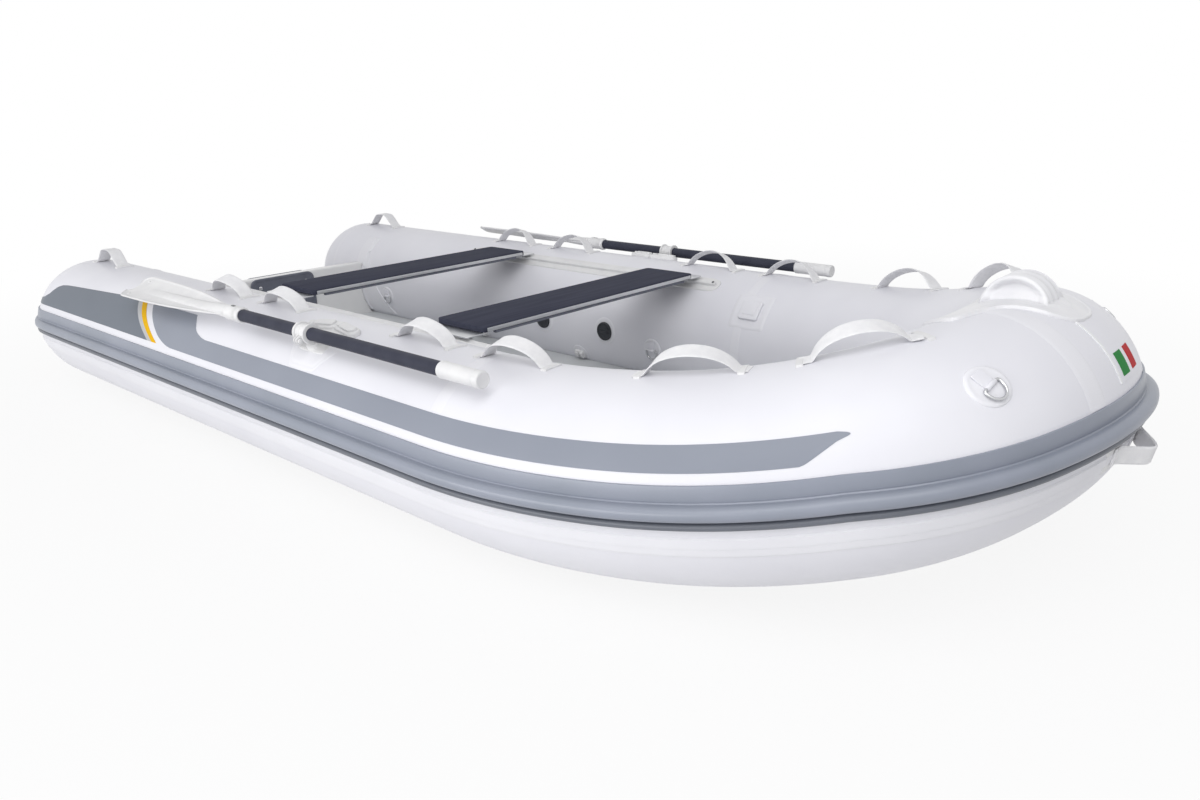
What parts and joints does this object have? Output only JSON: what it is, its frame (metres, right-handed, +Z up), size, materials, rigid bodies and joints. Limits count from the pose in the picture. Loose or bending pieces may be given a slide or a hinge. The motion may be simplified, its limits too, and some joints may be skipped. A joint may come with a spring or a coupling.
{
  "type": "rigid-hull inflatable tender",
  "caption": "Open rigid-hull inflatable tender with a U-shaped collar, V-bottom hull, thwart boards, carrying handles and a pair of swinging oars.",
  "frame": {"origin": "amidships on the centre plane, at the waterline", "axes": "+X to the bow, +Y to port, +Z up"},
  "size_m": [3.8779, 1.7588, 0.8623],
  "materials": {
    "collar_fabric": "satin coated fabric, pale grey",
    "strake_rubber": "satin moulded rubber, mid grey",
    "lip_rubber": "matt dark grey rubber",
    "gelcoat": "white gelcoat over glass fibre",
    "non_skid": "moulded non-skid, light grey",
    "dark_plate": "dark grey moulded plate",
    "thwart_board": "dark blue-grey coated board",
    "aluminium": "satin extrusion",
    "white_plastic": "white moulded plastic and webbing",
    "oar_tube": "dark anodised tube",
    "stainless": "polished bent wire",
    "valve_rubber": "dark grey valve cap"
  },
  "bodies": {
    "boat": {"aft_thwart": "thwart_board", "aft_thwart_frame": "aluminium", "bow_rubbing_strake": "strake_rubber", "bow_saddle_arch": "gelcoat", "bow_saddle_skirt": "gelcoat", "bow_strake_lip": "lip_rubber", "bow_tube": "collar_fabric", "forward_thwart": "thwart_board", "forward_thwart_frame": "aluminium", "hull": "gelcoat", "inner_motor_pad": "dark_plate", "keel_guard": "lip_rubber", "outer_motor_plate": "dark_plate", "port_cleats": "collar_fabric", "port_d_rings": "stainless", "port_handles_aft": "white_plastic", "port_handles_forward": "white_plastic", "port_oarlock_base": "white_plastic", "port_oarlock_patch": "collar_fabric", "port_ring_patches": "collar_fabric", "port_rubbing_strake": "strake_rubber", "port_seat_rail": "white_plastic", "port_square_pad": "collar_fabric", "port_stern_dome": "collar_fabric", "port_stern_handle": "white_plastic", "port_strake_lip": "lip_rubber", "port_transom_knee": "collar_fabric", "port_tube": "collar_fabric", "port_valves": "valve_rubber", "sole": "non_skid", "starboard_cleats": "collar_fabric", "starboard_d_rings": "stainless", "starboard_handles_aft": "white_plastic", "starboard_handles_forward": "white_plastic", "starboard_oarlock_base": "white_plastic", "starboard_oarlock_patch": "collar_fabric", "starboard_ring_patches": "collar_fabric", "starboard_rubbing_strake": "strake_rubber", "starboard_seat_rail": "white_plastic", "starboard_square_pad": "collar_fabric", "starboard_stern_dome": "collar_fabric", "starboard_stern_handle": "white_plastic", "starboard_strake_lip": "lip_rubber", "starboard_transom_knee": "collar_fabric", "starboard_tube": "collar_fabric", "starboard_valves": "valve_rubber", "tow_handle": "white_plastic", "transom": "gelcoat"},
    "starboard_oar": {"starboard_oarlock": "white_plastic", "starboard_oar_shaft": "oar_tube", "starboard_oar_neck": "white_plastic", "starboard_oar_blade": "white_plastic", "starboard_oar_grip": "white_plastic"},
    "port_oar": {"port_oarlock": "white_plastic", "port_oar_shaft": "oar_tube", "port_oar_neck": "white_plastic", "port_oar_blade": "white_plastic", "port_oar_grip": "white_plastic"}
  },
  "joints": [
    {"name": "starboard_oar_swing", "type": "hinge", "parent": "boat", "child": "starboard_oar", "pos_m": [0.075, -0.74238, 0.44005], "axis": [0, -0.5299, 0.848], "range_deg": [0, 115]},
    {"name": "port_oar_swing", "type": "hinge", "parent": "boat", "child": "port_oar", "pos_m": [0.075, 0.74238, 0.44005], "axis": [0, -0.5299, -0.848], "range_deg": [0, 115]}
  ]
}
